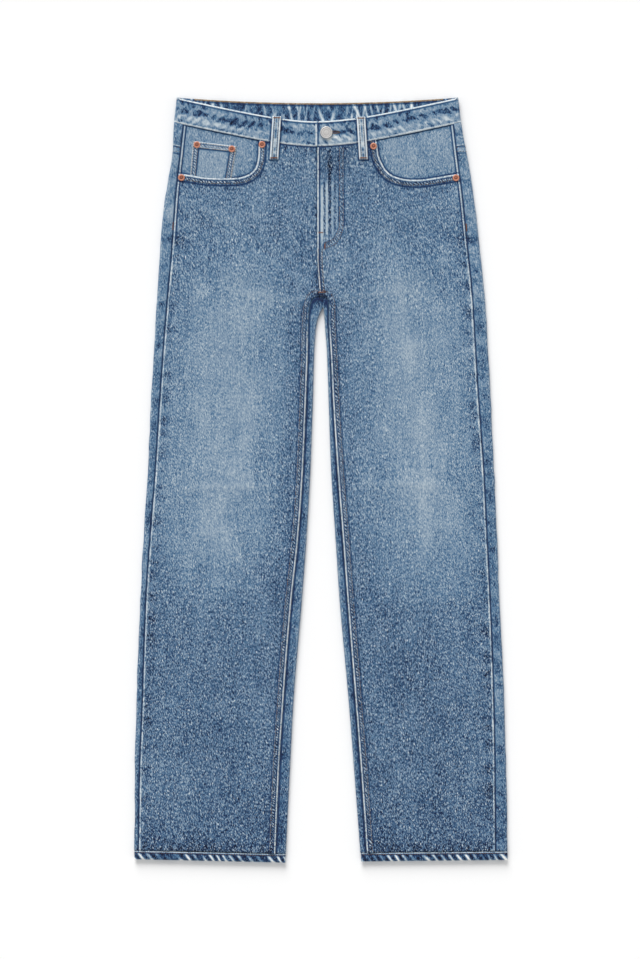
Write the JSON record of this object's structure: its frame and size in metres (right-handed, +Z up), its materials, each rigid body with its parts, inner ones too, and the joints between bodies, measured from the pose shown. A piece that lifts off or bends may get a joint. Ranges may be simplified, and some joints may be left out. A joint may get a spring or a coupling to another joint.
{
  "type": "straight leg jeans laid flat",
  "caption": "Washed blue denim trousers with straight legs, hand, coin and back pockets, belt loops and a buttoned waistband, laid flat with the front up",
  "frame": {"origin": "on the ground under the middle of the garment's box as it lies", "axes": "+X towards the wearer's left, +Y towards the waist, +Z up from the ground, out of the front of the garment"},
  "size_m": [0.5222, 1.07, 0.0145],
  "materials": {
    "panel_denim": "stone-washed blue twill, faded on the thighs and knees",
    "edge_denim": "stone-washed blue twill in several layers, worn pale along its folded edges",
    "thread": "faded tobacco-brown sewing thread",
    "button_metal": "satin nickel-coloured shank button with plain rings",
    "rivet_copper": "dull copper-plated rivet"
  },
  "bodies": {
    "root": {"front_right": "panel_denim", "front_left": "panel_denim", "back_right": "panel_denim", "back_left": "panel_denim", "yoke_right": "panel_denim", "yoke_left": "panel_denim", "hem_right": "edge_denim", "hem_left": "edge_denim", "waistband": "edge_denim", "pocket_facing_right": "panel_denim", "pocket_facing_left": "panel_denim", "coin_pocket": "panel_denim", "fly_shield": "panel_denim", "back_pocket_right": "panel_denim", "back_pocket_left": "panel_denim", "belt_loop_front_right": "edge_denim", "belt_loop_front_left": "edge_denim", "belt_loop_back_right": "edge_denim", "belt_loop_back_centre": "edge_denim", "belt_loop_back_left": "edge_denim", "button": "button_metal", "rivet_right_front": "rivet_copper", "rivet_right_side": "rivet_copper", "rivet_coin_outer": "rivet_copper", "rivet_coin_inner": "rivet_copper", "rivet_left_front": "rivet_copper", "rivet_left_side": "rivet_copper"}
  },
  "joints": []
}
